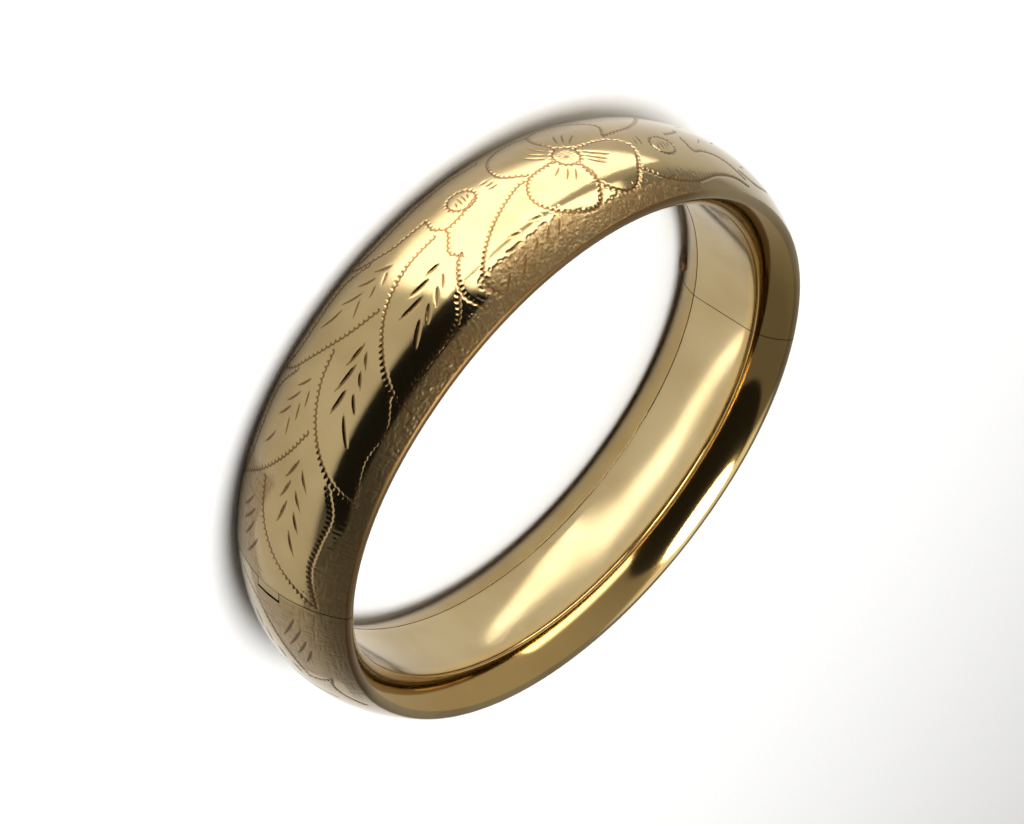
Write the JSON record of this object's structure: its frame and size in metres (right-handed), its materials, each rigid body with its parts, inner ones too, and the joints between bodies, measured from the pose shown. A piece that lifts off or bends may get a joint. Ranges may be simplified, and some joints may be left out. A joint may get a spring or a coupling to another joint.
{
  "type": "bangle bracelet",
  "caption": "Hinged oval hollow bangle with a domed, hand-engraved outer face, a concealed knuckle hinge and a tongue-and-box clasp with a flush thumb tab.",
  "frame": {"origin": "centre of the oval wrist opening, on the plane that the lower rim rests on", "axes": "+Z across the band from one rim to the other, +X from the centre towards the hinge, +Y towards the crown of the engraved upper half"},
  "size_m": [0.0714, 0.0664, 0.0162],
  "materials": {
    "gold_shell": "polished yellow gold-filled sheet with hand engraving and soft wear",
    "gold_lining": "smooth polished gold-filled lining with fine wear scratches",
    "old_brass": "dull brass of the hidden hinge and clasp pieces",
    "dark_solder": "tarnished dark brown solder"
  },
  "bodies": {
    "lower_half": {"lower_shell": "gold_shell", "lower_lining": "gold_lining", "lower_hinge_plate": "old_brass", "lower_knuckle_top": "old_brass", "lower_knuckle_bottom": "old_brass", "hinge_pin": "old_brass", "mouth_plate": "old_brass", "catch_box": "old_brass"},
    "upper_half": {"upper_shell": "gold_shell", "upper_lining": "gold_lining", "upper_hinge_plate": "old_brass", "upper_knuckle": "old_brass", "clasp_plate": "old_brass", "tongue": "old_brass", "rim_bead": "dark_solder"},
    "catch": {"catch_leaf": "old_brass", "thumb_tab": "gold_shell"}
  },
  "joints": [
    {"name": "bangle_hinge", "type": "hinge", "parent": "lower_half", "child": "upper_half", "pos_m": [0.0341, 0, 0.0081], "axis": [0, 0, -1], "range_deg": [0, 50]},
    {"name": "thumb_tab_press", "type": "slide", "parent": "upper_half", "child": "catch", "axis": [1, 0, 0], "range_m": [0, 0.0006], "stiffness_N_per_m": 2000, "springref_m": -0.0002}
  ]
}
